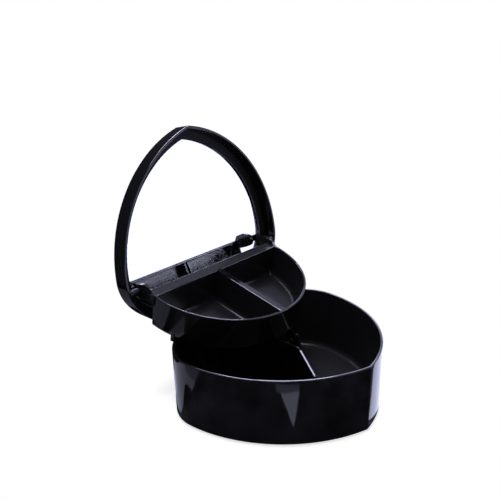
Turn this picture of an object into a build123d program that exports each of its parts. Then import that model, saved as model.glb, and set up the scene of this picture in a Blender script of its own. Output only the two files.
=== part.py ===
from build123d import *
from math import atan2, cos, degrees, hypot, radians, sin, sqrt, tan
import os

# Table mirror box: a deep bowl with a pointed front, a half-round tray carried by two
# swinging arms, and a lid with a mirror hinged on the back corners of the tray.
# Millimetres, +Z up, +Y towards the back, the pointed front looks towards -Y.
# The parts stand as in use: tray raised and set back, mirror upright. In this pose the
# origin lies on the table, in the middle of the whole. The functions below work in the
# frame of the bowl, with its underside at z 0 and its widest line at y 0, and STAND
# moves their shapes to the origin when they are saved.

WIDEST_Y = 8.6       # widest line of the bowl behind the origin

# plan outline shared by the bowl and the lid
HALF_W = 90.0        # half of the greatest width
FRONT = 112.3        # widest line to the pointed front, before the corner is rounded
BACK = 56.0          # widest line to the middle of the back
CORNER_R = 3.0       # plan radius of the pointed front
RIM_R = 0.7          # rounding of the rims of bowl and lid

# bowl
FOOT_H = 1.0         # feet stand out below the bowl
BOWL_H = 57.5        # bottom of the bowl to its rim
BOWL_WALL = 2.2
BOWL_FLOOR = 2.5
BOWL_DRAFT = 1.0     # the outline shrinks by this much at the bottom
BOWL_EDGE_R = 2.5    # outside rounding at the bottom
BOWL_FILLET = 5.0    # inside rounding at the floor
BOWL_INNER_R = 6.0   # inside of the pointed front
PARTITION_T = 1.6
PARTITION_GAP = 0.40738  # top of the partition below the front of the raised tray
PARTITION_KNEE = 39.9  # the top runs level back from here, and slopes down to the front
PARTITION_SLOPE = 49.9  # degrees
POST_T = 3.0
POST_W = 13.0
FOOT_R = 5.0
FOOT_SEAT = 0.8

# tray, in its own level frame: origin at the middle of the back edge of the cells
TRAY_SET = 15.7      # side of the tray inside the side of the bowl
TRAY_SIDE = 1.4      # straight part of the sides, in front of it a half circle
TRAY_H = 29.8
TRAY_WALL = 2.0
TRAY_FLOOR = 2.0
TRAY_DRAFT = 1.6
TRAY_EDGE_R = 2.4
TRAY_TOP_R = 0.6     # rounding of the top edges
CELL_FILLET = 4.0
RIB_W = 5.4          # hollow rib between the two cells
RIB_SKIN = 1.4
TAIL_END = 9.5       # the skins of the rib run on behind the cells to here
TAIL_LOW = 25.0      # and down to this depth below the top
LEDGE_W = 10.0       # flat bar behind the cells
LEDGE_T = 2.2
LEDGE_SET = 0.3      # end of the bar inside the side of the tray
FIN_SET = 16.0       # small fin under the bar, from its end
FIN_T = 1.6
BLOCK_W = 8.0        # block under the end of the bar
TRAY_TILT = 12.7     # the front of the raised tray dips by this many degrees
TRAY_Y = 48.9        # place of the tray frame in use
TRAY_LIFT = 7.9      # underside of the tray frame above the rim of the bowl

# lid, in its own face-down frame: opening at z 0, back cover on top
LID_DEPTH = 16.8
LID_WALL = 2.2
LID_BACK = 2.0
LID_DRAFT = 2.0
LID_EDGE_R = 1.8
LID_INNER_R = 1.4    # inside of the pointed end
LID_LEAN = 7.6       # the raised lid leans back by this many degrees
LID_BEHIND = 15.1    # lid frame behind the tray frame
LID_UP = 9.65        # and above it
BEZEL_INSET = 11.7   # lid edge to the opening of the bezel
BEZEL_T = 1.8
GLASS_INSET = 8.6
GLASS_T = 2.0
TAPE_INSET = 16.0
TAPE_T = 0.6

# lid hinge
HINGE_DOWN = 9.0     # hinge line below the middle of the raised lid
HINGE_DEEP = 4.0     # hinge line behind the opening of the lid
EAR_SET = 0.1        # outside of an ear inside the side of the tray
EAR_T = 2.5
EAR_R = 5.4
EAR_TOP = 3.7
EAR_LOW = 8.0
EAR_FALL = 27.0      # slope of the top edge down to the round end, degrees

# arms
ARM_SET = 22.3       # inner face of an arm from the side of the tray
ARM_T = 3.2
ARM_R = 4.6
ARM_END_R = 2.8
ARM_FOOT_Z = 20.0    # height of the lower pivot above the bottom of the bowl
LUG_T = 3.6
LUG_R = 2.8
LUG_Y = -22.0        # upper pivot in the tray frame
LUG_DROP = 3.2       # upper pivot below the underside of the tray
STOP_SET = 1.3516    # inner face of a stop from the outside of the bowl's rim
STOP_T = 3.2
STOP_Y = -20.6       # middle of a stop in the tray frame
STOP_LEN = 3.6
STOP_GAP = 0.3       # raised stop above the rim
PIN_R = 1.3
PIN_HEAD_R = 2.2
PIN_HEAD_T = 0.8
RUN = 0.06           # radial clearance of a turning pin
GAP = 0.4            # side clearance of the turning parts
CLOSED_GAP = 0.4     # closed lid above the rim of the bowl

TRAY_HALF_W = HALF_W - TRAY_SET
TRAY_DEEP = TRAY_HALF_W + TRAY_SIDE
TRAY_Z = BOWL_H + TRAY_LIFT + TRAY_H
LID_Y = TRAY_Y + LID_BEHIND
LID_Z = TRAY_Z + LID_UP
LEDGE_HALF = TRAY_HALF_W - LEDGE_SET
EAR_OUT = TRAY_HALF_W - EAR_SET
EAR_IN = EAR_OUT - EAR_T
ARM_IN = TRAY_HALF_W - ARM_SET
GLASS_Z = LID_DEPTH - LID_BACK - TAPE_T - GLASS_T
BEZEL_Z = GLASS_Z - BEZEL_T
PIVOT_Z = -TRAY_H - LUG_DROP
STAND = Pos(0, WIDEST_Y, FOOT_H)


def turn(y, z, angle):
    """Turn a point of the side view about the origin, back towards up."""
    a = radians(angle)
    return y * cos(a) - z * sin(a), y * sin(a) + z * cos(a)


def side_points():
    """Side view positions of the pivots: hinge, upper pivot and lower pivot."""
    sy, sz = turn(-HINGE_DOWN, -HINGE_DEEP, 90.0 - LID_LEAN)
    hinge = (LID_Y + sy, LID_Z + sz)
    hy, hz = turn(hinge[0] - TRAY_Y, hinge[1] - TRAY_Z, -TRAY_TILT)
    uy, uz = turn(LUG_Y, PIVOT_Z, TRAY_TILT)
    upper = (TRAY_Y + uy, TRAY_Z + uz)
    shut_y = HINGE_DOWN - hy + LUG_Y
    shut_z = BOWL_H + CLOSED_GAP + HINGE_DEEP - hz + PIVOT_Z
    mid_y = (upper[0] + shut_y) / 2
    mid_z = (upper[1] + shut_z) / 2
    run = shut_y - upper[0]
    rise = shut_z - upper[1]
    lower_y = mid_y + (mid_z - ARM_FOOT_Z) * rise / run
    return hinge, (hy, hz), upper, (shut_y, shut_z), (lower_y, ARM_FOOT_Z)


def partition_top():
    """Height just below the rounded front edge of the raised tray."""
    reach = TRAY_DEEP - TRAY_DRAFT - TRAY_EDGE_R
    rise = turn(-reach, TRAY_EDGE_R - TRAY_H, TRAY_TILT)[1]
    return TRAY_Z + rise - TRAY_EDGE_R - PARTITION_GAP


def stop_end(y):
    """Lower end of a stop in the tray frame, just above the rim of the bowl."""
    drop = BOWL_H + STOP_GAP - TRAY_Z
    return (drop - y * sin(radians(TRAY_TILT))) / cos(radians(TRAY_TILT))


def stop_x():
    """Inner face of a stop, from the rim of the bowl where the stop comes down."""
    y = TRAY_Y + turn(STOP_Y, stop_end(STOP_Y), TRAY_TILT)[0]
    return HALF_W * sqrt(1 - (y / BACK) ** 2) - STOP_SET


HINGE, HINGE_TRAY, UPPER, UPPER_SHUT, LOWER = side_points()
PARTITION_TOP = partition_top()
STOP_X = stop_x()


def outline(inset, z, small=0.0):
    """Pick shape: half ellipse at the back, two arcs to a rounded corner in front."""
    half = HALF_W - inset
    big = (HALF_W**2 + FRONT**2) / (2 * HALF_W) - inset
    centre = half - big
    small = small or max(CORNER_R - inset, 0.6)
    drop = sqrt((big - small) ** 2 - centre**2)
    angle = atan2(drop, -centre)
    far = (centre + big * cos(angle), -big * sin(angle))
    mid = (centre + big * cos(angle / 2), -big * sin(angle / 2))
    nose = (0, -drop - small)
    right = ThreePointArc((half, 0), mid, far)
    tip = ThreePointArc(far, nose, (-far[0], far[1]))
    left = ThreePointArc((-far[0], far[1]), (-mid[0], mid[1]), (-half, 0))
    back = EllipticalCenterArc((0, 0), half, BACK - inset, start_angle=0, arc_size=180)
    return Pos(0, 0, z) * make_face(Curve() + [right, tip, left, back])


def shell_body(low, low_z, high, high_z, corner=0.0):
    """Solid between two outlines of different inset."""
    return loft([outline(low, low_z, corner), outline(high, high_z, corner)], ruled=True)


def disc(radius, x0, x1, y=0.0, z=0.0):
    """Round bar along X."""
    bar = Cylinder(radius, abs(x1 - x0), rotation=(0, 90, 0))
    return Pos((x0 + x1) / 2, y, z) * bar


def plate_x(points, x0, x1):
    """Flat plate across X from a side view outline of (y, z) points."""
    face = make_face(Polyline([(0, y, z) for y, z in points], close=True))
    return Pos(min(x0, x1), 0, 0) * extrude(face, amount=abs(x1 - x0), dir=(1, 0, 0))


def bar_x(p, q, rp, rq, x0, x1):
    """Link plate across X between two round ends."""
    dy = q[0] - p[0]
    dz = q[1] - p[1]
    n = hypot(dy, dz)
    oy, oz = -dz / n, dy / n
    corners = [
        (p[0] + oy * rp, p[1] + oz * rp),
        (q[0] + oy * rq, q[1] + oz * rq),
        (q[0] - oy * rq, q[1] - oz * rq),
        (p[0] - oy * rp, p[1] - oz * rp),
    ]
    body = plate_x(corners, x0, x1)
    return body + disc(rp, x0, x1, *p) + disc(rq, x0, x1, *q)


def both(shape):
    """The shape and its mirror image on the other side."""
    return shape, mirror(shape, about=Plane.YZ)


def bowl():
    """Deep bowl with drafted walls, a middle partition, pivot posts and foot seats."""
    inner_low = BOWL_WALL + BOWL_DRAFT
    outer = shell_body(BOWL_DRAFT, 0, 0, BOWL_H, CORNER_R)
    outer = fillet(outer.faces().sort_by(Axis.Z)[0].edges(), BOWL_EDGE_R)
    cavity = shell_body(inner_low, BOWL_FLOOR, BOWL_WALL, BOWL_H, BOWL_INNER_R)
    cavity = fillet(cavity.faces().sort_by(Axis.Z)[0].edges(), BOWL_FILLET)
    cut_top = Pos(0, 0, BOWL_H + 2) * Box(3 * HALF_W, 3 * FRONT, 4)
    shell = outer - cavity
    rim = shell.faces().sort_by(Axis.Z)[-1].edges()
    shell = fillet(rim, RIM_R)
    shell += partition(outer)
    for side in both(post()):
        shell += side
    for x, y in foot_places():
        shell -= Pos(x, y, FOOT_SEAT / 2) * Cylinder(FOOT_R + 0.1, FOOT_SEAT)
    shell -= cut_top
    return shell


def partition(outer):
    """Upright wall down the middle, level at the back and sloping to the pointed front."""
    run = (PARTITION_TOP - BOWL_FLOOR) / tan(radians(PARTITION_SLOPE))
    low = BOWL_FLOOR - 1.0
    foot = -PARTITION_KNEE - run
    points = [
        (foot, BOWL_FLOOR),
        (foot, low),
        (BACK - 1.0, low),
        (BACK - 1.0, PARTITION_TOP),
        (-PARTITION_KNEE, PARTITION_TOP),
    ]
    wall = plate_x(points, -PARTITION_T / 2, PARTITION_T / 2)
    knee = wall.edges().filter_by(Axis.X).sort_by(Axis.Z)[-2:].sort_by(Axis.Y)[0]
    wall = fillet(knee, 6.0)
    return wall & outer


def post_span():
    """X range of a pivot post, outside the arm."""
    start = ARM_IN + ARM_T + GAP
    return start, start + POST_T


def post():
    """Pivot post on the floor, round on top."""
    x0, x1 = post_span()
    y, z = LOWER
    half = POST_W / 2
    body = plate_x([(y - half, BOWL_FLOOR - 1), (y + half, BOWL_FLOOR - 1),
                    (y + ARM_R, z), (y - ARM_R, z)], x0, x1)
    body += disc(ARM_R, x0, x1, y, z)
    return body - disc(PIN_R, x0 - 1, x1 + 1, y, z)


def foot_places():
    return [(x * side, y) for x, y in ((52.0, 18.0), (40.0, -52.0)) for side in (1, -1)]


def feet():
    """Four rubber discs let into the underside."""
    pads = []
    for x, y in foot_places():
        pad = Cylinder(FOOT_R, FOOT_H + FOOT_SEAT)
        pad = fillet(pad.edges().sort_by(Axis.Z)[0], 0.4)
        pads.append(STAND * Pos(x, y, (FOOT_SEAT - FOOT_H) / 2) * pad)
    return Compound(children=pads)


def half_round(inset, z, back):
    """Tray outline: half circle in front, square corners at the back."""
    half = TRAY_HALF_W - inset
    front = ThreePointArc((-half, -TRAY_SIDE), (0, -half - TRAY_SIDE), (half, -TRAY_SIDE))
    rest = Polyline((half, -TRAY_SIDE), (half, back), (-half, back), (-half, -TRAY_SIDE))
    return Pos(0, 0, z) * make_face(Curve() + [front, rest])


def tray():
    """Half-round tray: two cells, hollow rib, flat bar behind, hinge ears, arm lugs."""
    body = tray_outer()
    for cell in both(tray_cell()):
        body -= cell
    body = fillet(body.faces().sort_by(Axis.Z)[-1].edges(), TRAY_TOP_R)
    body += ledge()
    for tail in both(rib_tail()):
        body += tail
    slot_w = RIB_W - 2 * RIB_SKIN
    slot_len = TRAY_DEEP - TRAY_WALL - 1.0
    slot = Box(slot_w, slot_len, TRAY_H - RIB_SKIN + 1)
    body -= Pos(0, TRAY_WALL + 0.5 - slot_len / 2, -(TRAY_H + RIB_SKIN + 1) / 2) * slot
    for side in both(ear()):
        body += side
    for side in both(lug()):
        body += side
    for side in both(stop()):
        body += side
    return tray_place() * body


def tray_outer():
    """Tray without its hollows."""
    low = half_round(TRAY_DRAFT, -TRAY_H, TRAY_WALL - 0.4)
    high = half_round(0, 0, TRAY_WALL)
    block = loft([low, high], ruled=True)
    return fillet(block.faces().sort_by(Axis.Z)[0].edges(), TRAY_EDGE_R)


def tray_cell():
    """Hollow of the right-hand cell."""
    edge = RIB_W / 2
    deep = TRAY_DRAFT + TRAY_WALL
    low = half_round(deep, -TRAY_H + TRAY_FLOOR, 0)
    high = half_round(TRAY_WALL, 0.0, 0)
    room = loft([low, high], ruled=True)
    keep = Pos(edge + TRAY_HALF_W / 2, -TRAY_DEEP / 2, -TRAY_H / 2) * Box(
        TRAY_HALF_W, 2 * TRAY_DEEP, 2 * TRAY_H)
    room = room & keep
    floor_edges = room.faces().sort_by(Axis.Z)[0].edges()
    return fillet(floor_edges, CELL_FILLET)


def ledge():
    """Flat bar behind the cells with its stiffening ribs and end blocks."""
    start = TRAY_WALL - TRAY_TOP_R - 0.3
    bar = Pos(0, (start + LEDGE_W) / 2, -LEDGE_T / 2) * Box(
        2 * LEDGE_HALF, LEDGE_W - start, LEDGE_T)
    bar = fillet(bar.edges().filter_by(Axis.X).sort_by(Axis.Y)[-2:], TRAY_TOP_R)
    y0 = TRAY_WALL - 0.6
    fin = plate_x([(y0, -1), (LEDGE_W - 1, -1), (LEDGE_W - 1, -3), (y0, -13)],
                  LEDGE_HALF - FIN_SET, LEDGE_HALF - FIN_SET + FIN_T)
    block = plate_x([(y0, -1), (LEDGE_W, -1), (LEDGE_W, -EAR_LOW), (y0, -EAR_LOW)],
                    LEDGE_HALF - BLOCK_W, LEDGE_HALF)
    for side in both(fin):
        bar += side
    for side in both(block):
        bar += side
    return bar


def rib_tail():
    """Fin that carries the right-hand skin of the rib on under the flat bar."""
    y0 = TRAY_WALL - 0.6
    points = [(y0, -1), (TAIL_END, -1), (TAIL_END, -TAIL_LOW + 4), (TAIL_END - 4, -TAIL_LOW),
              (y0, -TAIL_LOW)]
    return plate_x(points, RIB_W / 2 - RIB_SKIN, RIB_W / 2)


def ear():
    """Thin hinge ear that carries the side of the tray on, drilled for the hinge pin."""
    y, z = HINGE_TRAY
    fall = radians(90 - EAR_FALL)
    touch = (y + EAR_R * cos(fall), z + EAR_R * sin(fall))
    crest = touch[0] - (EAR_TOP - touch[1]) / tan(radians(EAR_FALL))
    points = [
        (0.3, -EAR_LOW),
        (0.3, -0.8),
        (5.2, EAR_TOP),
        (crest, EAR_TOP),
        touch,
        (y, z - EAR_R),
        (y - 4.0, z - EAR_R),
    ]
    body = plate_x(points, EAR_IN, EAR_OUT)
    top = body.edges().filter_by(Axis.X).sort_by(Axis.Z)[-2:]
    body = fillet(top, 4.0)
    body += disc(EAR_R, EAR_IN, EAR_OUT, y, z)
    return body - disc(PIN_R, EAR_IN - 1, EAR_OUT + 1, y, z)


def lug():
    """Lug under the tray floor for the upper pivot of an arm."""
    x0 = ARM_IN + ARM_T + GAP
    x1 = x0 + LUG_T
    y, z = LUG_Y, PIVOT_Z
    root = -TRAY_H + 0.8
    body = plate_x([(y - 6.0, root), (y + 6.0, root), (y + LUG_R, z), (y - LUG_R, z)], x0, x1)
    body += disc(LUG_R, x0, x1, y, z)
    trim = Pos((x0 + x1) / 2, y, root + 10) * Box(2 * LUG_T, 40, 20)
    body -= trim
    return body - disc(PIN_R, x0 - 1, x1 + 1, y, z)


def stop():
    """Short foot under the tray that comes down on the rim of the bowl behind."""
    y0 = STOP_Y - STOP_LEN / 2
    y1 = STOP_Y + STOP_LEN / 2
    root = -TRAY_H + TRAY_EDGE_R + 1.0
    points = [(y0, root), (y0, stop_end(y0)), (y1, stop_end(y1)), (y1, root)]
    foot = plate_x(points, STOP_X, STOP_X + STOP_T)
    room = tray_outer()
    return foot - room


def tray_place():
    return Pos(0, TRAY_Y, TRAY_Z) * Rot(TRAY_TILT, 0, 0)


def lid_place():
    return Pos(0, LID_Y, LID_Z) * Rot(-90 - LID_LEAN, 0, 0)


def lid_shell():
    """Shallow cover with drafted walls and two hinge bosses inside."""
    outer = shell_body(0, 0, LID_DRAFT, LID_DEPTH, CORNER_R)
    outer = fillet(outer.faces().sort_by(Axis.Z)[-1].edges(), LID_EDGE_R)
    floor_z = LID_DEPTH - LID_BACK
    inner_draft = LID_DRAFT * floor_z / LID_DEPTH
    cavity = shell_body(LID_WALL, 0, LID_WALL + inner_draft, floor_z, LID_INNER_R)
    shell = outer - cavity
    shell = fillet(shell.faces().sort_by(Axis.Z)[0].edges(), RIM_R)
    boss_in = EAR_OUT + GAP
    boss = disc(HINGE_DEEP - RIM_R - 0.3, boss_in, HALF_W - 1.2, HINGE_DOWN, HINGE_DEEP)
    boss = boss & shell_body(LID_WALL / 2, 0, LID_WALL / 2 + LID_DRAFT, LID_DEPTH)
    boss -= disc(PIN_R + RUN, boss_in - 1, boss_in + 4.6, HINGE_DOWN, HINGE_DEEP)
    for side in both(boss):
        shell += side
    return lid_place() * shell


def lid_inset(z):
    """Inset of the inside face of the lid wall at a given depth."""
    return LID_WALL + LID_DRAFT * z / LID_DEPTH


def bezel():
    """Ring that holds the glass, with a rounded inner edge."""
    fit = 0.1
    ring = shell_body(lid_inset(BEZEL_Z) + fit, BEZEL_Z, lid_inset(GLASS_Z) + fit, GLASS_Z)
    hole = extrude(outline(BEZEL_INSET, BEZEL_Z - 1), amount=BEZEL_T + 2)
    ring -= hole
    inner = ring.faces().sort_by(Axis.Z)[0].inner_wires()[0].edges()
    ring = fillet(inner, 0.9)
    return lid_place() * ring


def glass():
    """Flat mirror glass with a fine ground edge."""
    pane = extrude(outline(GLASS_INSET, GLASS_Z), amount=GLASS_T)
    pane = chamfer(pane.faces().sort_by(Axis.Z)[0].edges(), 0.4)
    return lid_place() * pane


def tape():
    """Foam tape between the glass and the cover."""
    pad = extrude(outline(TAPE_INSET, GLASS_Z + GLASS_T), amount=TAPE_T)
    return lid_place() * pad


def arm():
    """Swinging link from the bowl to the tray."""
    x1 = ARM_IN + ARM_T
    body = bar_x(LOWER, UPPER, ARM_R, ARM_END_R, ARM_IN, x1)
    body = chamfer(body.faces().filter_by(Axis.X).edges(), 0.4)
    for y, z in (LOWER, UPPER):
        body -= disc(PIN_R + RUN, ARM_IN - 1, x1 + 1, y, z)
    return body


def arm_pin(place, reach):
    """Headed pin through an arm into the part outside it."""
    head_x = ARM_IN - 0.25
    y, z = place
    shank = disc(PIN_R, head_x, reach, y, z)
    head = disc(PIN_HEAD_R, head_x - PIN_HEAD_T, head_x, y, z)
    return shank + head


def hinge_pin():
    """Plain pin pressed in an ear, turning in the boss of the lid."""
    y, z = HINGE_TRAY
    pin = disc(PIN_R, EAR_IN + 0.6, EAR_OUT + GAP + 4.2, y, z)
    return tray_place() * pin


def save(name, shape):
    export_step(STAND * shape, f"parts/{name}.step")


def save_pair(name, shape):
    right, left = both(shape)
    save(f"{name}_right", right)
    save(f"{name}_left", left)


os.makedirs("parts", exist_ok=True)
save("bowl", bowl())
export_step(feet(), "parts/rubber_feet.step")
save("tray", tray())
save("lid_shell", lid_shell())
save("mirror_bezel", bezel())
save("mirror_glass", glass())
save("mirror_tape", tape())
save_pair("arm", arm())
save_pair("arm_pin_lower", arm_pin(LOWER, post_span()[1] + 0.4))
save_pair("arm_pin_upper", arm_pin(UPPER, ARM_IN + ARM_T + GAP + LUG_T + 0.3))
save_pair("hinge_pin", hinge_pin())
closing = degrees(atan2(UPPER_SHUT[1] - LOWER[1], UPPER_SHUT[0] - LOWER[0]))
closing -= degrees(atan2(UPPER[1] - LOWER[1], UPPER[0] - LOWER[0]))
for label, point in (("hinge", HINGE), ("upper", UPPER), ("lower", LOWER)):
    print(f"{label} y {point[0] + WIDEST_Y:.4f} z {point[1] + FOOT_H:.4f}")
print(f"arm swing {closing:.3f} lid on tray {90 + LID_LEAN + TRAY_TILT:.3f}")
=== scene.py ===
# %% [markdown]
# # A black table mirror box
# The object is a deep bowl with a pointed front, a half-round tray that swings up out of
# it, and a lid with a mirror. Its shape is finished in CAD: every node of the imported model
# is loaded first and keeps its mesh. What is left for Blender is the camera, the finish of
# each piece and a studio round it. That is why this script makes materials and light, and
# hardly any geometry.

# %% Load the frame
import bpy
import math
import numpy as np
from mathutils import Matrix, Vector

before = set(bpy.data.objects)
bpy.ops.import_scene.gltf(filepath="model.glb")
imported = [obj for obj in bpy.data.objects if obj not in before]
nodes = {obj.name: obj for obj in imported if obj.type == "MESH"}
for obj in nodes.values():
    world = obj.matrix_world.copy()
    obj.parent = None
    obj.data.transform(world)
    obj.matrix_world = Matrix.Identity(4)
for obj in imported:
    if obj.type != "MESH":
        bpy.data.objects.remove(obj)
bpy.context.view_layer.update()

# %% [markdown]
# ## The camera
# The camera stands in front of the box, to the left and above. Its angles were worked out
# from the outlines of bowl, tray and lid. It could be turned by hand until it fits, but
# three angles and a distance can be written down and repeated. A small roll and a lens
# shift put the object where the picture has it. The lens is about 66 mm on a 36 mm sensor.

# %% Camera
AZIMUTH, ELEVATION, ROLL = -45.741, 24.403, -1.686   # degrees
DISTANCE, FOCAL_PX, IMAGE_PX = 0.790, 921.4, 500     # metres, pixels, pixels
SENSOR_MM = 36.0
TARGET = Vector((0.0, 0.0386, 0.071))
CENTRE_PX = (236.2, 302.3)   # where the target appears, from the top left corner

turn, lift, roll = (math.radians(v) for v in (AZIMUTH, ELEVATION, ROLL))
back = Vector((math.sin(turn) * math.cos(lift), -math.cos(turn) * math.cos(lift),
               math.sin(lift)))
level = Vector((math.cos(turn), math.sin(turn), 0.0))
rise = Vector((-math.sin(turn) * math.sin(lift), math.cos(turn) * math.sin(lift),
               math.cos(lift)))
side = level * math.cos(roll) + rise * math.sin(roll)
up = rise * math.cos(roll) - level * math.sin(roll)

camera = bpy.data.objects.new("camera", bpy.data.cameras.new("camera"))
bpy.context.scene.collection.objects.link(camera)
bpy.context.scene.camera = camera
turned = Matrix((side, up, back)).transposed().to_4x4()
camera.matrix_world = Matrix.Translation(TARGET + back * DISTANCE) @ turned
camera.data.sensor_width = SENSOR_MM
camera.data.lens = SENSOR_MM * FOCAL_PX / IMAGE_PX
camera.data.shift_x = 0.5 - CENTRE_PX[0] / IMAGE_PX
camera.data.shift_y = CENTRE_PX[1] / IMAGE_PX - 0.5
print("lens", round(camera.data.lens, 2), "shift", round(camera.data.shift_x, 4),
      round(camera.data.shift_y, 4))

# %% [markdown]
# ## Helpers for materials
# Colours are written as sRGB hex values, as a colour picker shows them, and one function
# turns them to the linear values that Blender mixes light with. A second function adds a
# node, sets it and links it, so that each material below reads as a short list. Patterns
# are sized in millimetres: the coordinates are in metres, so a noise with details of
# `size` millimetres has the scale 1000 / size.


# %% Colour helpers
def linear(code):
    """sRGB hex to linear: v/12.92 below 0.04045, else ((v + 0.055)/1.055)^2.4."""
    values = [int(code[i:i + 2], 16) / 255 for i in (1, 3, 5)]
    return [v / 12.92 if v <= 0.04045 else ((v + 0.055) / 1.055) ** 2.4 for v in values]


def rgba(code):
    return (*linear(code), 1.0)


def per_mm(size):
    return 1000.0 / size


print("mid grey #808080 is", round(linear("#808080")[0], 3), "in linear light")


# %% Node helper and a new material
def add(tree, kind, links=None, sets=None, **props):
    """Add a node: props on the node, sets on its sockets, links from other sockets."""
    node = tree.nodes.new(kind)
    for key, value in props.items():
        setattr(node, key, value)
    for key, value in (sets or {}).items():
        node.inputs[key].default_value = value
    for key, source in (links or {}).items():
        tree.links.new(source, node.inputs[key])
    return node


def start_material(name, **sockets):
    """A material with one Principled shader, its tree, and Object coordinates."""
    material = bpy.data.materials.new(name)
    material.use_nodes = True
    tree = material.node_tree
    shader = tree.nodes["Principled BSDF"]
    for key, value in sockets.items():
        shader.inputs[key.replace("_", " ")].default_value = value
    place = add(tree, "ShaderNodeTexCoord").outputs["Object"]
    return material, tree, shader, place


print("a 2 mm grain has the noise scale", per_mm(2.0))

# %% [markdown]
# ## Gloss black ABS
# Bowl, tray and lid are one family of mouldings: black ABS, injected into polished steel.
# The plastic itself is nearly black, so the eye sees mostly what it reflects. Handling
# leaves patches of finer and coarser gloss, with a fine scuff in them, and a few pale
# specks of dust stay on the skin. The reflections are a little wavy, because such a wall
# shrinks unevenly as it cools: the waves are 12 to 20 mm long and a few hundredths of a
# millimetre high.
#
# These marks could be painted in an image, but an image has seams. Noises on Object
# coordinates have none, and their sizes can be given in millimetres.

# %% Marks on a gloss moulding: wear, dust and waves
PATCH_MM, SCUFF_MM, DUST_MM, WAVE_MM = 26.0, 1.6, 7.0, 17.0
WAVE_STRENGTH, WAVE_HIGH = 0.22, 0.00022
LEAST_WEAR = 0.25                                    # even where patch or scuff is nothing
WEAR_SPAN = {"From Min": 0.35, "From Max": 0.75}     # what the wear really reaches
DUST = "#3c3b3a"
SPECK_EDGE = {"From Min": 0.02, "From Max": 0.035, "To Min": 1.0, "To Max": 0.0}


def worn_gloss(tree, place, low, high):
    """Roughness from patch x scuff + least wear, and the patch itself for the dust."""
    patch = add(tree, "ShaderNodeTexNoise", {"Vector": place},
                {"Scale": per_mm(PATCH_MM), "Detail": 6.0, "Roughness": 0.62})
    scuff = add(tree, "ShaderNodeTexNoise", {"Vector": place},
                {"Scale": per_mm(SCUFF_MM), "Detail": 3.0, "Roughness": 0.6})
    worn = add(tree, "ShaderNodeMath", {0: patch.outputs["Fac"], 1: scuff.outputs["Fac"]},
               {2: LEAST_WEAR}, operation="MULTIPLY_ADD")
    rough = add(tree, "ShaderNodeMapRange", {"Value": worn.outputs[0]},
                {**WEAR_SPAN, "To Min": low, "To Max": high})
    return rough.outputs["Result"], patch.outputs["Fac"]


def dusty(tree, place, patch, code):
    """The base colour, with a pale speck in the very middle of each cell of a pattern."""
    grains = add(tree, "ShaderNodeTexVoronoi", {"Vector": place}, {"Scale": per_mm(DUST_MM)})
    speck = add(tree, "ShaderNodeMapRange", {"Value": grains.outputs["Distance"]}, SPECK_EDGE)
    share = add(tree, "ShaderNodeMath", {0: speck.outputs["Result"], 1: patch},
                operation="MULTIPLY")
    return add(tree, "ShaderNodeMix", {"Factor": share.outputs[0]},
               {"A": rgba(code), "B": rgba(DUST)}, data_type="RGBA").outputs["Result"]


def cooled_waves(tree, place):
    """A bump of long, low waves."""
    flow = add(tree, "ShaderNodeTexNoise", {"Vector": place},
               {"Scale": per_mm(WAVE_MM), "Detail": 1.5, "Roughness": 0.45})
    return add(tree, "ShaderNodeBump", {"Height": flow.outputs["Fac"]},
               {"Strength": WAVE_STRENGTH, "Distance": WAVE_HIGH}).outputs["Normal"]


print("waves", WAVE_MM, "mm long,", WAVE_HIGH * 1000, "mm high; specks", DUST_MM, "mm apart")

# %% [markdown]
# ## One moulding, two finishes
# The inside of bowl and tray is duller than the outside: the steel core that forms it is
# only ground, while the cavity that forms the outside is polished. The inside's lighter base
# colour is painted sheen, which stands in for the light that the satin skin scatters. Both
# finishes are on one piece, so one material holds both, and a mask says which is where. The
# mask is worked out from the place on the piece. It could be painted by hand on the mesh, but
# the CAD mesh stays as it is, and a formula is as sharp as the edge that it follows.


# %% Gloss black ABS, injection moulded
ABS_IOR, GLOSS_LOW, GLOSS_HIGH = 1.48, 0.05, 0.11
FULL_SHINE = 0.5    # the specular level at which the IOR alone sets the reflection


def gloss_abs(name, code, inside=None, satin=None, inner_sheen_colour=None, shine=FULL_SHINE):
    """Near-black base, a low reflection, wavy skin, patchy gloss and pale dust specks.
    Where inside() gives 1, the skin is satin, with its own shine and a lighter base colour,
    which is painted sheen."""
    material, tree, shader, place = start_material(name, IOR=ABS_IOR)
    rough, patch = worn_gloss(tree, place, GLOSS_LOW, GLOSS_HIGH)
    colour = dusty(tree, place, patch, code)
    if inside:
        within = inside(tree, place)
        rough = add(tree, "ShaderNodeMix", {"Factor": within, "A": rough}, {"B": satin},
                    data_type="FLOAT").outputs["Result"]
        # Painted sheen: the inside gets a lighter base colour for the light that its satin skin
        # scatters.
        colour = add(tree, "ShaderNodeMix", {"Factor": within, "A": colour},
                     {"B": rgba(inner_sheen_colour)}, data_type="RGBA").outputs["Result"]
        if shine != FULL_SHINE:
            mirrored = add(tree, "ShaderNodeMix", {"Factor": within},
                           {"A": FULL_SHINE, "B": shine}, data_type="FLOAT")
            tree.links.new(mirrored.outputs["Result"], shader.inputs["Specular IOR Level"])
    tree.links.new(rough, shader.inputs["Roughness"])
    tree.links.new(colour, shader.inputs["Base Color"])
    tree.links.new(cooled_waves(tree, place), shader.inputs["Normal"])
    return material


gloss_black = gloss_abs("gloss_black_abs_moulded", "#0a0a0b")
print(gloss_black.name, "has", len(gloss_black.node_tree.nodes), "nodes")

# %% [markdown]
# ## Satin cells of the tray
# The tray leans by 12.7 degrees, so the place on it is first turned level, about the top
# of its back wall. Then a point is inside a cell if it is nearer to the middle than the
# round wall, which slopes in towards the floor, and lies below the gloss rim and above the
# underside. What lies behind the back wall was formed by the same core, so it is satin too.
# The direction that the skin faces would be a shorter test, but the rib and the round wall
# face every way, so only the place tells inside from outside.

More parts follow.
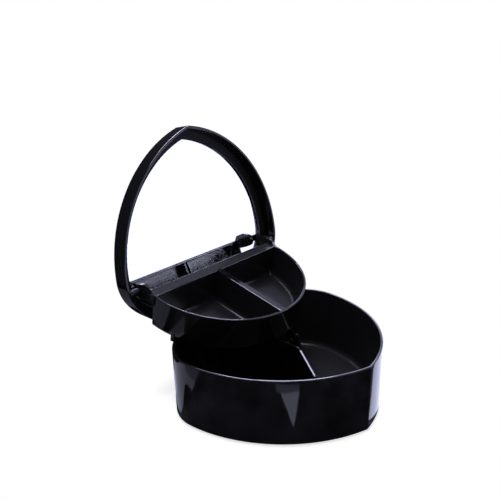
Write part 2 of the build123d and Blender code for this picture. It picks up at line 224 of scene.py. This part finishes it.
# %% Tray: where it is satin
TILT, TRAY_PLACE = 12.7, (0.0, 0.0575, 0.0962)       # lean in degrees, top of the back wall
CELL_RADIUS, CELL_SHIFT = 0.0733, 0.0014             # round wall at the rim, its middle
CELL_DEEP, CELL_TAPER = 0.0288, 0.0537               # depth, and how far the wall slopes in
RIM_SKIN, BACK_FACE = 0.0007, 0.001                  # gloss top of the rim, back wall's face


def levelled(tree, place):
    """X, Y and Z of a place on the tray, turned back by its lean, from its back wall."""
    t = math.radians(TILT)
    _, y, z = TRAY_PLACE
    shift = (0.0, -(y * math.cos(t) + z * math.sin(t)), y * math.sin(t) - z * math.cos(t))
    turned_back = add(tree, "ShaderNodeMapping", {"Vector": place},
                      {"Rotation": (-t, 0.0, 0.0), "Location": shift})
    return add(tree, "ShaderNodeSeparateXYZ", {0: turned_back.outputs["Vector"]}).outputs


def inside_tray(tree, place):
    """1 inside the cells and behind them: radius and height are compared with the wall."""
    axes = levelled(tree, place)
    ahead = add(tree, "ShaderNodeMath", {0: axes["Y"]}, {1: CELL_SHIFT}, operation="ADD")
    front = add(tree, "ShaderNodeMath", {0: ahead.outputs[0]}, {1: 0.0}, operation="MINIMUM")
    flat = add(tree, "ShaderNodeCombineXYZ", {0: axes["X"], 1: front.outputs[0]})
    radius = add(tree, "ShaderNodeVectorMath", {0: flat.outputs[0]}, operation="LENGTH")
    wall = add(tree, "ShaderNodeMath", {0: axes["Z"]}, {1: CELL_TAPER, 2: CELL_RADIUS},
               operation="MULTIPLY_ADD")
    ring = add(tree, "ShaderNodeMath", {0: radius.outputs["Value"], 1: wall.outputs[0]},
               operation="LESS_THAN")
    above = add(tree, "ShaderNodeMath", {0: axes["Z"]}, {1: -CELL_DEEP},
                operation="GREATER_THAN")
    below = add(tree, "ShaderNodeMath", {0: axes["Z"]}, {1: -RIM_SKIN}, operation="LESS_THAN")
    deep = add(tree, "ShaderNodeMath", {0: above.outputs[0], 1: below.outputs[0]},
               operation="MULTIPLY")
    cells = add(tree, "ShaderNodeMath", {0: ring.outputs[0], 1: deep.outputs[0]},
                operation="MULTIPLY")
    behind = add(tree, "ShaderNodeMath", {0: axes["Y"]}, {1: BACK_FACE},
                 operation="GREATER_THAN")
    return add(tree, "ShaderNodeMath", {0: cells.outputs[0], 1: behind.outputs[0]},
               operation="MAXIMUM").outputs[0]


# The lighter colour of the cells is painted sheen on their satin skin.
tray_black = gloss_abs("gloss_black_abs_satin_cells", "#0b0b0d", inside_tray, satin=0.21,
                       inner_sheen_colour="#18181b")
print(tray_black.name, "cells", CELL_DEEP * 1000, "mm deep")

# %% [markdown]
# ## Satin inside of the bowl
# The bowl stands round the origin, so the inside of its wall is where the skin faces the
# middle: there the place and the direction that the skin faces point opposite ways, and
# their product is below zero. The floor is the part near the ground that faces up. Places
# alone, as on the tray, would need the formula of the pointed outline, and this doesn't.

# %% Bowl: where it is satin
FACING_IN, FLOOR_TOP, FACING_UP = -0.004, 0.012, 0.1


def inside_bowl(tree, place):
    """1 where the skin faces the middle of the bowl, or is its floor."""
    facing = add(tree, "ShaderNodeTexCoord").outputs["Normal"]
    flat = add(tree, "ShaderNodeVectorMath", {0: place}, {1: (1.0, 1.0, 0.0)},
               operation="MULTIPLY")
    outward = add(tree, "ShaderNodeVectorMath", {0: flat.outputs["Vector"], 1: facing},
                  operation="DOT_PRODUCT").outputs["Value"]
    walls = add(tree, "ShaderNodeMath", {0: outward}, {1: FACING_IN}, operation="LESS_THAN")
    height = add(tree, "ShaderNodeSeparateXYZ", {0: place}).outputs["Z"]
    upward = add(tree, "ShaderNodeSeparateXYZ", {0: facing}).outputs["Z"]
    low = add(tree, "ShaderNodeMath", {0: height}, {1: FLOOR_TOP}, operation="LESS_THAN")
    faces_up = add(tree, "ShaderNodeMath", {0: upward}, {1: FACING_UP},
                   operation="GREATER_THAN")
    base = add(tree, "ShaderNodeMath", {0: low.outputs[0], 1: faces_up.outputs[0]},
               operation="MULTIPLY")
    return add(tree, "ShaderNodeMath", {0: walls.outputs[0], 1: base.outputs[0]},
               operation="MAXIMUM").outputs[0]


# The lighter colour of the inside of the bowl is painted sheen on its satin skin.
bowl_black = gloss_abs("gloss_black_abs_satin_inside", "#0a0a0c", inside_bowl, satin=0.24,
                       inner_sheen_colour="#1e1e22", shine=0.27)
print(bowl_black.name, "has", len(bowl_black.node_tree.nodes), "nodes")

# %% [markdown]
# ## The ring round the mirror
# The ring is a thin moulding that is pressed over the glass. Its flat face is dull, so
# that it doesn't shine beside the mirror, and its rounded edge is gloss and draws a fine
# line. The lid leans back by 7.6 degrees, and the face is where the skin looks along that
# direction, to within 10 degrees, whose cosine is 0.985. The face is flat, so its direction
# is enough, and the outline of the ring isn't needed.

# %% Ring: where it is satin
LEAN, FACE_COSINE = 7.6, 0.985


def bezel_face(tree, place):
    """1 on the flat front of the ring, 0 on its rounded edge."""
    facing = add(tree, "ShaderNodeTexCoord").outputs["Normal"]
    lean = math.radians(LEAN)
    straight = add(tree, "ShaderNodeVectorMath", {0: facing},
                   {1: (0.0, -math.cos(lean), math.sin(lean))}, operation="DOT_PRODUCT")
    return add(tree, "ShaderNodeMath", {0: straight.outputs["Value"]}, {1: FACE_COSINE},
               operation="GREATER_THAN").outputs[0]


# The slightly lighter colour of the ring's flat face is painted sheen on its dull skin.
ring_black = gloss_abs("gloss_black_abs_satin_ring", "#0a0a0c", bezel_face, satin=0.45,
                       inner_sheen_colour="#0d0d0f", shine=0.12)
print(ring_black.name, "has", len(ring_black.node_tree.nodes), "nodes")

# %% [markdown]
# ## Satin black ABS
# The arms hide between tray and bowl. Such links are moulded from the same ABS against a
# mould that was left as the spark eroded it, so they have a fine even grain of about
# 0.3 mm and no mirror reflections. The grain is drawn at 0.5 mm so that it shows. A tiled
# picture of it would show where it repeats, and a noise doesn't.

# %% Satin black ABS, spark eroded mould
GRAIN_MM = 0.5


def satin_abs():
    """Dull black with a fine even grain in its colour and its bump."""
    material, tree, shader, place = start_material(
        "satin_black_abs_moulded", Roughness=0.6, Specular_IOR_Level=0.06)
    grain = add(tree, "ShaderNodeTexNoise", {"Vector": place},
                {"Scale": per_mm(GRAIN_MM), "Detail": 3.0})
    colour = add(tree, "ShaderNodeMix", {"Factor": grain.outputs["Fac"]},
                 {"A": rgba("#050506"), "B": rgba("#0c0c0d")}, data_type="RGBA")
    tree.links.new(colour.outputs["Result"], shader.inputs["Base Color"])
    pits = add(tree, "ShaderNodeBump", {"Height": grain.outputs["Fac"]},
               {"Strength": 0.5, "Distance": 0.00005})
    tree.links.new(pits.outputs["Normal"], shader.inputs["Normal"])
    return material


satin_black = satin_abs()
print(satin_black.name, "grain", GRAIN_MM, "mm")

# %% [markdown]
# ## Silvered float glass
# The mirror is 2 mm float glass with silver on its back. Glass over metal could be made as
# two layers, but float glass is flat and clean, so a metal with almost no roughness looks
# the same and renders without noise. A wiped glass has faint broad smears, which only
# change the gloss by a hair.

# %% Silvered float glass, wiped
SMEAR_MM = 30.0


def silvered_glass():
    """A pale metal, whose roughness follows broad smears."""
    material, tree, shader, place = start_material(
        "silvered_float_glass_wiped", Base_Color=rgba("#f7f9f8"), Metallic=1.0)
    smear = add(tree, "ShaderNodeTexNoise", {"Vector": place},
                {"Scale": per_mm(SMEAR_MM), "Detail": 4.0, "Distortion": 1.2})
    rough = add(tree, "ShaderNodeMapRange", {"Value": smear.outputs["Fac"]},
                {"From Min": 0.45, "From Max": 0.75, "To Min": 0.001, "To Max": 0.006})
    tree.links.new(rough.outputs["Result"], shader.inputs["Roughness"])
    return material


silver = silvered_glass()
print(silver.name, "smears", SMEAR_MM, "mm")

# %% [markdown]
# ## Rubber feet
# Four rubber discs carry the bowl. Moulded rubber is dull and dark grey rather than black,
# with a fine grain of less than a millimetre. They hardly show, so one plain colour would
# nearly do, but a single noise gives both the specks and the bumps of the grain.

# %% Moulded rubber
RUBBER_GRAIN_MM = 0.7


def moulded_rubber():
    """Dark grey and dull, with a fine grain in its colour and its bump."""
    material, tree, shader, place = start_material("moulded_rubber", Roughness=0.78)
    grain = add(tree, "ShaderNodeTexNoise", {"Vector": place},
                {"Scale": per_mm(RUBBER_GRAIN_MM), "Detail": 4.0})
    colour = add(tree, "ShaderNodeMix", {"Factor": grain.outputs["Fac"]},
                 {"A": rgba("#121212"), "B": rgba("#262625")}, data_type="RGBA")
    tree.links.new(colour.outputs["Result"], shader.inputs["Base Color"])
    pimples = add(tree, "ShaderNodeBump", {"Height": grain.outputs["Fac"]},
                  {"Strength": 0.5, "Distance": 0.00008})
    tree.links.new(pimples.outputs["Normal"], shader.inputs["Normal"])
    return material


rubber = moulded_rubber()
print(rubber.name, "grain", RUBBER_GRAIN_MM, "mm")

# %% [markdown]
# ## Steel pins
# Pins are cut from drawn steel wire. Drawing pulls the wire through a die, which leaves
# fine lines along its length. Every pin here lies along X, so the noise is stretched along
# X by a Mapping node, and no pin needs a UV map.

# %% Drawn steel wire
LINE_MM, LINE_STRETCH = 0.25, 0.08


def drawn_wire():
    """Steel whose roughness and bump follow lines along X."""
    material, tree, shader, place = start_material(
        "drawn_steel_wire", Base_Color=rgba("#a7a9ab"), Metallic=1.0)
    along = add(tree, "ShaderNodeMapping", {"Vector": place},
                {"Scale": (LINE_STRETCH, 1.0, 1.0)})
    lines = add(tree, "ShaderNodeTexNoise", {"Vector": along.outputs["Vector"]},
                {"Scale": per_mm(LINE_MM), "Detail": 2.0})
    rough = add(tree, "ShaderNodeMapRange", {"Value": lines.outputs["Fac"]},
                {"From Min": 0.3, "From Max": 0.7, "To Min": 0.22, "To Max": 0.42})
    tree.links.new(rough.outputs["Result"], shader.inputs["Roughness"])
    ridges = add(tree, "ShaderNodeBump", {"Height": lines.outputs["Fac"]},
                 {"Strength": 0.3, "Distance": 0.00002})
    tree.links.new(ridges.outputs["Normal"], shader.inputs["Normal"])
    return material


wire = drawn_wire()
print(wire.name, "lines", LINE_MM, "mm apart and", LINE_MM / LINE_STRETCH, "mm long")

# %% [markdown]
# ## Foam tape
# White foam tape holds the glass to the lid. It is cut from a sheet of foam, so its edge
# shows open cells of about half a millimetre. A noise would give clouds, and foam is made
# of cells, so the pattern that is used here grows each cell round a middle of its own. The
# middle of each cell is painted darker, as shade in its pit.

# %% White foam tape
FOAM_CELL_MM = 0.5


def foam_tape():
    """Off-white and dull, with cells that are deeper in the middle and painted darker there as
    shade.
    """
    material, tree, shader, place = start_material("white_foam_tape", Roughness=0.85)
    cells = add(tree, "ShaderNodeTexVoronoi", {"Vector": place},
                {"Scale": per_mm(FOAM_CELL_MM)})
    # Painted shade: each cell is darker towards its middle, where its pit would be shaded.
    colour = add(tree, "ShaderNodeMix", {"Factor": cells.outputs["Distance"]},
                 {"A": rgba("#bdbdb6"), "B": rgba("#e4e4de")}, data_type="RGBA")
    tree.links.new(colour.outputs["Result"], shader.inputs["Base Color"])
    holes = add(tree, "ShaderNodeBump", {"Height": cells.outputs["Distance"]},
                {"Strength": 0.6, "Distance": 0.0002})
    tree.links.new(holes.outputs["Normal"], shader.inputs["Normal"])
    return material


foam = foam_tape()
print(foam.name, "cells", FOAM_CELL_MM, "mm")

# %% [markdown]
# ## Each node gets its finish
# A CAD node comes with a plain material. It is taken out of the node's slots, and the
# finish of the real piece goes in. The mesh and its place aren't touched.

# %% Give each node its finish
FINISHES = {"mirror_glass": silver, "rubber_feet": rubber, "mirror_tape": foam,
            "tray": tray_black, "bowl": bowl_black, "mirror_bezel": ring_black}


def finish_of(name):
    """Pins are wire, arms are satin, and what isn't in the table is a gloss moulding."""
    if "pin" in name:
        return wire
    if name.startswith("arm"):
        return satin_black
    return FINISHES.get(name, gloss_black)


for name, node in nodes.items():
    node.data.materials.clear()
    node.data.materials.append(finish_of(name))
    print(name, node.data.materials[0].name, len(node.data.polygons), "faces")

# %% [markdown]
# ## The studio
# The picture has a pure white ground. A gloss black object is lit by what it mirrors, so
# the studio is built the way such a picture is taken: a white ground, black flags beside
# the object, a few white cards on the ground, and white panels round it. All of these are
# for reflections only. To the camera the ground is plain white, with the object's shadow.
#
# The world comes first. The Light Path node tells rays apart: a camera ray sees white, a
# glossy ray sees a room that is dark on the left and bright on the right, and any other ray
# meets an even low light, which keeps the shadows open.

# %% World: what each kind of ray sees
LAVENDER = "#dcddff"                # cool tint of everything that the gloss skin mirrors
ROOM, FLAG, EVEN = 1.15, 0.06, 0.35      # bright side, black flag, light for matt surfaces
RIGHTWARD = (1.0, -0.82, 0.0)            # the bright side of the room
FLAG_EDGE = {"From Min": -0.02, "From Max": 0.06, "To Min": FLAG, "To Max": ROOM}
FRONT_DIM = {"From Min": -0.28, "From Max": -0.10, "To Min": 0.33, "To Max": 1.0}
NEAR_GLOW = {"From Min": -0.55, "From Max": -0.25, "To Min": 0.5, "To Max": 0.0}


def mirrored_room(tree):
    """Strength by direction: the flag's soft edge x the dimmer front, at least the glow."""
    coords = add(tree, "ShaderNodeTexCoord").outputs["Generated"]
    right = add(tree, "ShaderNodeVectorMath", {0: coords}, {1: RIGHTWARD},
                operation="DOT_PRODUCT").outputs["Value"]
    flag = add(tree, "ShaderNodeMapRange", {"Value": right}, FLAG_EDGE,
               interpolation_type="SMOOTHSTEP")
    ahead = add(tree, "ShaderNodeSeparateXYZ", {0: coords}).outputs["Y"]
    front = add(tree, "ShaderNodeMapRange", {"Value": ahead}, FRONT_DIM)
    room = add(tree, "ShaderNodeMath", {0: flag.outputs["Result"], 1: front.outputs["Result"]},
               operation="MULTIPLY")
    glow = add(tree, "ShaderNodeMapRange", {"Value": ahead}, NEAR_GLOW,
               interpolation_type="SMOOTHSTEP")
    return add(tree, "ShaderNodeMath", {0: room.outputs[0], 1: glow.outputs["Result"]},
               operation="MAXIMUM").outputs[0]


world = bpy.data.worlds.new("white_room")
bpy.context.scene.world = world
world.use_nodes = True
sky = world.node_tree
ray = add(sky, "ShaderNodeLightPath").outputs
seen = add(sky, "ShaderNodeMix", {"Factor": ray["Is Glossy Ray"], "B": mirrored_room(sky)},
           {"A": EVEN}, data_type="FLOAT")
strength = add(sky, "ShaderNodeMix", {"Factor": ray["Is Camera Ray"],
               "A": seen.outputs["Result"]}, {"B": 1.0}, data_type="FLOAT")
tint = add(sky, "ShaderNodeMix", {"Factor": ray["Is Glossy Ray"]},
           {"A": rgba("#ffffff"), "B": rgba(LAVENDER)}, data_type="RGBA")
sky.links.new(tint.outputs["Result"], sky.nodes["Background"].inputs["Color"])
sky.links.new(strength.outputs["Result"], sky.nodes["Background"].inputs["Strength"])
print(world.name, "has", len(sky.nodes), "nodes")

# %% [markdown]
# ## The ground
# To the camera the ground is paper near the bowl, where its shadow falls, and clean white
# further out, so that the edge of the picture is pure white. The border between the two is
# a soft oval round the foot of the bowl. To reflections it is dark cloth round the object,
# white further out, and dark again behind it. A real photographer lays black cloth beside
# a gloss black object in the same way, so that its sides stay black.

# %% Ground as the camera sees it
PAPER, PAPER_GLOW = "#e6e6e6", 0.70
OVAL_SCALE, OVAL_SHIFT = (1.0, 0.89, 1.0), (0.0, 0.011, 0.0)
PAPER_EDGE = {"From Min": 0.088, "From Max": 0.108, "To Min": 0.0, "To Max": 1.0}


def shadow_paper(tree, spot, paper):
    """Paper with a glow inside the oval, plain white outside it."""
    glow = add(tree, "ShaderNodeEmission", None, {"Color": rgba("#ffffff"),
               "Strength": PAPER_GLOW})
    near = add(tree, "ShaderNodeAddShader", {0: paper, 1: glow.outputs[0]})
    clean = add(tree, "ShaderNodeEmission", None, {"Color": rgba("#ffffff"), "Strength": 1.0})
    oval = add(tree, "ShaderNodeMapping", {"Vector": spot},
               {"Scale": OVAL_SCALE, "Location": OVAL_SHIFT})
    reach = add(tree, "ShaderNodeVectorMath", {0: oval.outputs["Vector"]}, operation="LENGTH")
    fade = add(tree, "ShaderNodeMapRange", {"Value": reach.outputs["Value"]}, PAPER_EDGE,
               interpolation_type="SMOOTHSTEP")
    return add(tree, "ShaderNodeMixShader", {0: fade.outputs["Result"], 1: near.outputs[0],
               2: clean.outputs[0]}).outputs[0]


print("the paper ends", PAPER_EDGE["From Min"] * 1000, "to", PAPER_EDGE["From Max"] * 1000,
      "mm from the middle")

# %% Ground as reflections see it
FOLD_MM = 55.0
CLOTH = {"From Min": 0.36, "From Max": 0.64, "To Min": 0.03, "To Max": 0.14}
CLOTH_END = {"From Min": 0.28, "From Max": 0.42, "To Max": 1.6}
BEHIND = (-0.20, 0.98, 0.0)
BEHIND_FLAG = {"From Min": 0.45, "From Max": 0.70, "To Min": 1.0, "To Max": 0.03}


def mirrored_cloth(tree, spot):
    """Strength by place: folded cloth, then white, times the flag behind the object."""
    folds = add(tree, "ShaderNodeTexNoise", {"Vector": spot},
                {"Scale": per_mm(FOLD_MM), "Detail": 3.0, "Roughness": 0.6})
    cloth = add(tree, "ShaderNodeMapRange", {"Value": folds.outputs["Fac"]}, CLOTH)
    radius = add(tree, "ShaderNodeVectorMath", {0: spot}, operation="LENGTH").outputs["Value"]
    away = add(tree, "ShaderNodeMapRange", {"Value": radius, "To Min": cloth.outputs["Result"]},
               CLOTH_END, interpolation_type="SMOOTHSTEP")
    course = add(tree, "ShaderNodeVectorMath", {0: spot}, operation="NORMALIZE")
    behind = add(tree, "ShaderNodeVectorMath", {0: course.outputs["Vector"]}, {1: BEHIND},
                 operation="DOT_PRODUCT").outputs["Value"]
    flag = add(tree, "ShaderNodeMapRange", {"Value": behind}, BEHIND_FLAG,
               interpolation_type="SMOOTHSTEP")
    shown = add(tree, "ShaderNodeMath", {0: away.outputs["Result"], 1: flag.outputs["Result"]},
                operation="MULTIPLY")
    return add(tree, "ShaderNodeEmission", {"Strength": shown.outputs[0]},
               {"Color": rgba(LAVENDER)}).outputs[0]


def ground_material():
    """Light Path picks what a ray meets: shadow paper, mirrored cloth, or plain paper."""
    material = bpy.data.materials.new("white_ground_paper")
    material.use_nodes = True
    tree = material.node_tree
    tree.nodes.clear()
    kind = add(tree, "ShaderNodeLightPath").outputs
    spot = add(tree, "ShaderNodeNewGeometry").outputs["Position"]
    paper = add(tree, "ShaderNodeBsdfDiffuse", None, {"Color": rgba(PAPER)}).outputs[0]
    other = add(tree, "ShaderNodeMixShader", {0: kind["Is Glossy Ray"], 1: paper,
                2: mirrored_cloth(tree, spot)})
    mix = add(tree, "ShaderNodeMixShader", {0: kind["Is Camera Ray"], 1: other.outputs[0],
              2: shadow_paper(tree, spot, paper)})
    add(tree, "ShaderNodeOutputMaterial", {"Surface": mix.outputs[0]})
    return material


print("the cloth turns white", CLOTH_END["From Min"] * 1000, "to",
      CLOTH_END["From Max"] * 1000, "mm from the middle")

# %% [markdown]
# ## Stage pieces
# Ground, cards and panels aren't part of the object.

# %% The ground itself
GROUND_HALF = 6.0


def stage_sheet(name, corners, material):
    """A flat stage piece from its corner points."""
    mesh = bpy.data.meshes.new(name)
    mesh.from_pydata(corners, [], [tuple(range(len(corners)))])
    mesh.materials.append(material)
    sheet = bpy.data.objects.new(name, mesh)
    bpy.context.scene.collection.objects.link(sheet)
    return sheet


SQUARE = ((-1, -1), (1, -1), (1, 1), (-1, 1))
floor = stage_sheet("floor", [(GROUND_HALF * x, GROUND_HALF * y, 0) for x, y in SQUARE],
                    ground_material())
print(floor.name, "is", 2 * GROUND_HALF, "m wide")

# %% [markdown]
# ## Reflectors
# A reflector is a glowing face that the camera, matt surfaces and shadows don't see. Some
# are for one kind of reflection only. The Glossy Depth of the Light Path node counts the
# reflections of a ray, so a reflector can be limited to the first one, or to those after
# it, as in the mirror image of the tray. To all other rays it is transparent.

# %% Reflectors: faces that only reflections see
AFTER_FIRST = 1.5    # between one reflection and two


def card_material(name, strength, bounce=None):
    """A glowing card. bounce "first" or "later" limits it to the first reflection of a
    ray, or to those after it, and lets the other rays through."""
    material = bpy.data.materials.new(name)
    material.use_nodes = True
    tree = material.node_tree
    tree.nodes.clear()
    glow = add(tree, "ShaderNodeEmission", None, {"Color": rgba(LAVENDER), "Strength": strength})
    if bounce:
        bounces = add(tree, "ShaderNodeLightPath").outputs["Glossy Depth"]
        shown = add(tree, "ShaderNodeMath", {0: bounces}, {1: AFTER_FIRST},
                    operation={"first": "LESS_THAN", "later": "GREATER_THAN"}[bounce])
        clear = add(tree, "ShaderNodeBsdfTransparent")
        glow = add(tree, "ShaderNodeMixShader", {0: shown.outputs[0], 1: clear.outputs[0],
                   2: glow.outputs[0]})
    add(tree, "ShaderNodeOutputMaterial", {"Surface": glow.outputs[0]})
    return material


def reflector(name, corners, strength, bounce=None):
    """A flat glowing card that only reflections see."""
    card = stage_sheet(name, corners, card_material(name, strength, bounce))
    card.visible_camera = False
    card.visible_diffuse = False
    card.visible_shadow = False
    card.visible_transmission = False
    return card


print("a glossy depth below", AFTER_FIRST, "is the first reflection of a ray")

# %% [markdown]
# ## Cards on the ground
# The pale wedges in the bowl's front are cards that lie on the ground and are mirrored in
# the upright wall. Each outline was found by following the mirrored rays from the edges of
# a wedge down to the ground. They could be one big card with a painted pattern, but separate
# outlines are easier to move. A card lies 0.1 mm above the one before, so that no two faces
# share a height.

# %% Cards: strength, and corners in millimetres
GROUND_CARDS = {
    "card_front_far": (0.62, [(-140, -116), (-104, -151), (-98, -141), (-121, -115),
                              (-127, -110)]),
    "card_front": (1.75, [(-121, -115), (-98, -141), (-72, -93), (-94, -105)]),
    "card_left": (0.72, [(-50, 125), (-120, 114), (-156, 92), (-148, 60), (-150, 46),
                         (-133, 42), (-137, 62), (-126, 64), (-110, 55), (-98, 42),
                         (-88, 32), (-66, 60)]),
    "card_left_edge": (1.0, [(-40, 105), (-70, 95), (-74, 72), (-60, 50)]),
    "card_left_out": (0.34, [(-150, 46), (-148, 60), (-156, 92), (-172, 54), (-170, 46)]),
    "card_back_left": (0.34, [(-150, 122), (-176, 114), (-240, 100), (-240, 190),
                              (-150, 190)]),
    "card_back": (0.18, [(-60, 150), (-150, 212), (-150, 260), (-40, 220)]),
    "card_right": (1.9, [(14, -105), (100, -109), (220, -60), (220, 150), (92, 150),
                         (96, 0), (60, -70)]),
    "card_right_far": (1.3, [(55, -190), (130, -120), (290, -120), (290, -300),
                             (100, -300)]),
}
LOWEST, STEP = 0.0004, 0.0001
for step, (name, (strength, corners_mm)) in enumerate(GROUND_CARDS.items()):
    height = LOWEST + STEP * step
    reflector(name, [(x / 1000, y / 1000, height) for x, y in corners_mm], strength)
print(len(GROUND_CARDS), "cards on the ground")

# %% [markdown]
# ## One softbox
# Matt surfaces need light that falls on them, and the shadow at the foot needs a direction.
# One large softbox above does both. An area lamp is set in watts, but how bright it looks is
# its radiance, so the watts are worked out: radiance x pi x area.


# %% Lamp
def softbox(name, place, aim, width, height, radiance):
    """White area lamp, turned from its place to its aim; watts = radiance x pi x area."""
    lamp = bpy.data.lights.new(name, "AREA")
    lamp.shape = "RECTANGLE"
    lamp.size, lamp.size_y = width, height
    lamp.energy = radiance * math.pi * width * height
    holder = bpy.data.objects.new(name, lamp)
    bpy.context.scene.collection.objects.link(holder)
    holder.location = place
    holder.rotation_mode = "QUATERNION"
    holder.rotation_quaternion = (Vector(aim) - Vector(place)).to_track_quat("-Z", "Y")
    return holder


BOX_HANGS, BOX_AIMS, BOX_SIDE, BOX_RADIANCE = (0.0, 0.05, 1.3), (0, 0.03, 0.05), 0.5, 14.0
top_softbox = softbox("top_softbox", BOX_HANGS, BOX_AIMS, BOX_SIDE, BOX_SIDE, BOX_RADIANCE)
print(top_softbox.name, round(top_softbox.data.energy, 2), "W")

# %% [markdown]
# ## Hanging panels
# The bright lines along the rims, the flat bar and the ring are long panels that hang
# round the box. A panel is given by the direction in which it hangs, seen from the point
# that it lights: an azimuth from +Y towards +X, and an elevation. It faces that point.
# The two high strips only reach the rounded edges of the rims, which is why they can be
# strong and still leave the flat faces black.

# %% Panels: azimuth, elevation, distance, width, height, strength, about, bounce
BOX_MIDDLE, RIM_MIDDLE = (0, 0, 0.06), (-0.035, -0.085, 0.058)
HANGING = {
    "strip_front_right": (129, 28, 1.2, 0.20, 0.16, 16.0, BOX_MIDDLE, None),
    "panel_front_right": (141, 20, 1.25, 0.95, 0.46, 4.4, BOX_MIDDLE, "later"),
    "strip_right": (66, 17, 1.2, 0.40, 0.16, 5.0, BOX_MIDDLE, None),
    "strip_back_right": (47, 26, 1.2, 0.40, 0.34, 4.5, RIM_MIDDLE, None),
    "strip_high": (42, 58, 1.2, 0.60, 0.26, 45.0, RIM_MIDDLE, "first"),
    "strip_high_left": (17, 46, 1.2, 0.42, 0.18, 25.0, RIM_MIDDLE, "first"),
    "panel_left": (-52, 34, 1.2, 0.55, 0.18, 0.55, BOX_MIDDLE, None),
}


def hanging(azimuth, elevation, distance, width, height, about):
    """Corners of a panel: about + distance along the direction, then across and up."""
    a, e = math.radians(azimuth), math.radians(elevation)
    out = np.array((math.sin(a) * math.cos(e), math.cos(a) * math.cos(e), math.sin(e)))
    across = np.array((math.cos(a), -math.sin(a), 0.0))
    upward = np.cross(across, out)
    reach = np.array(SQUARE) * (width / 2, height / 2)
    return np.array(about) + out * distance + reach @ np.array((across, upward))


for name, (*shape, strength, about, bounce) in HANGING.items():
    corners = hanging(*shape, about)
    reflector(name, corners.tolist(), strength, bounce)
    print(name, "hangs", round(float(corners[:, 2].min()), 2), "m above the ground")

# %% [markdown]
# ## A ceiling panel
# Seen from above, the floors of bowl and cells face the ceiling, so a wide weak panel
# hangs there and shows their satin skin. More light from the softbox would grey the matt
# pieces as well. The panel counts for first reflections only, which leaves the image of
# the tray in the mirror as it is.

# %% Ceiling panel
CEILING_HEIGHT, CEILING_STRENGTH = 1.25, 9.0
CEILING = [(-0.35, -0.25), (0.35, -0.25), (0.35, 0.85), (-0.35, 0.85)]
ceiling = reflector("top_panel", [(x, y, CEILING_HEIGHT) for x, y in CEILING],
                    CEILING_STRENGTH, "first")
print(ceiling.name, "at", CEILING_HEIGHT, "m")

# %% [markdown]
# ## Finish
# The Standard view shows a colour as it was written. No piece was added to the object.

# %% Finish
bpy.context.scene.view_settings.view_transform = "Standard"
